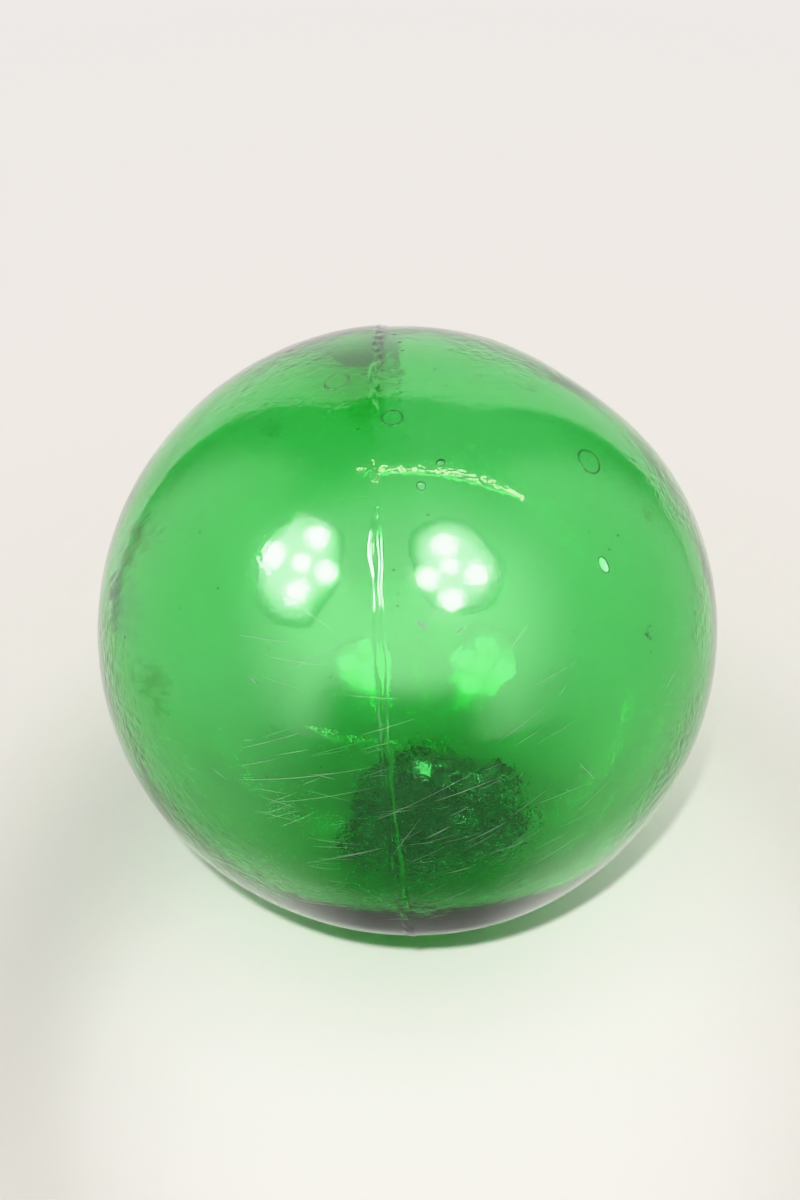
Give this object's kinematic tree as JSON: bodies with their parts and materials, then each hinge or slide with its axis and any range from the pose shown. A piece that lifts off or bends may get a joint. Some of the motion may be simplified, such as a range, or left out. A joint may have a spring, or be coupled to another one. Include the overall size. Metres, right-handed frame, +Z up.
{
  "type": "glass float ball",
  "caption": "Large hollow green glass fishing float: a sealed ball with a raised mould seam all round, lying on a small worn flat on its seal button.",
  "frame": {"origin": "middle of the small flat that the ball rests on, under the middle of the ball", "axes": "+Z up as the ball lies; +X across the mould's two halves, towards the right one; +Y along the mould seam, away from the front. The seam's plane leans 4.6 degrees from the vertical, its top towards -X"},
  "size_m": [0.2998, 0.2971, 0.2943],
  "materials": {
    "bottle_glass": "clear green bottle glass, smooth, with bubbles, fine scratches and a faint chill ripple from the mould"
  },
  "bodies": {
    "root": {"glass_float_ball": "bottle_glass"}
  },
  "joints": []
}
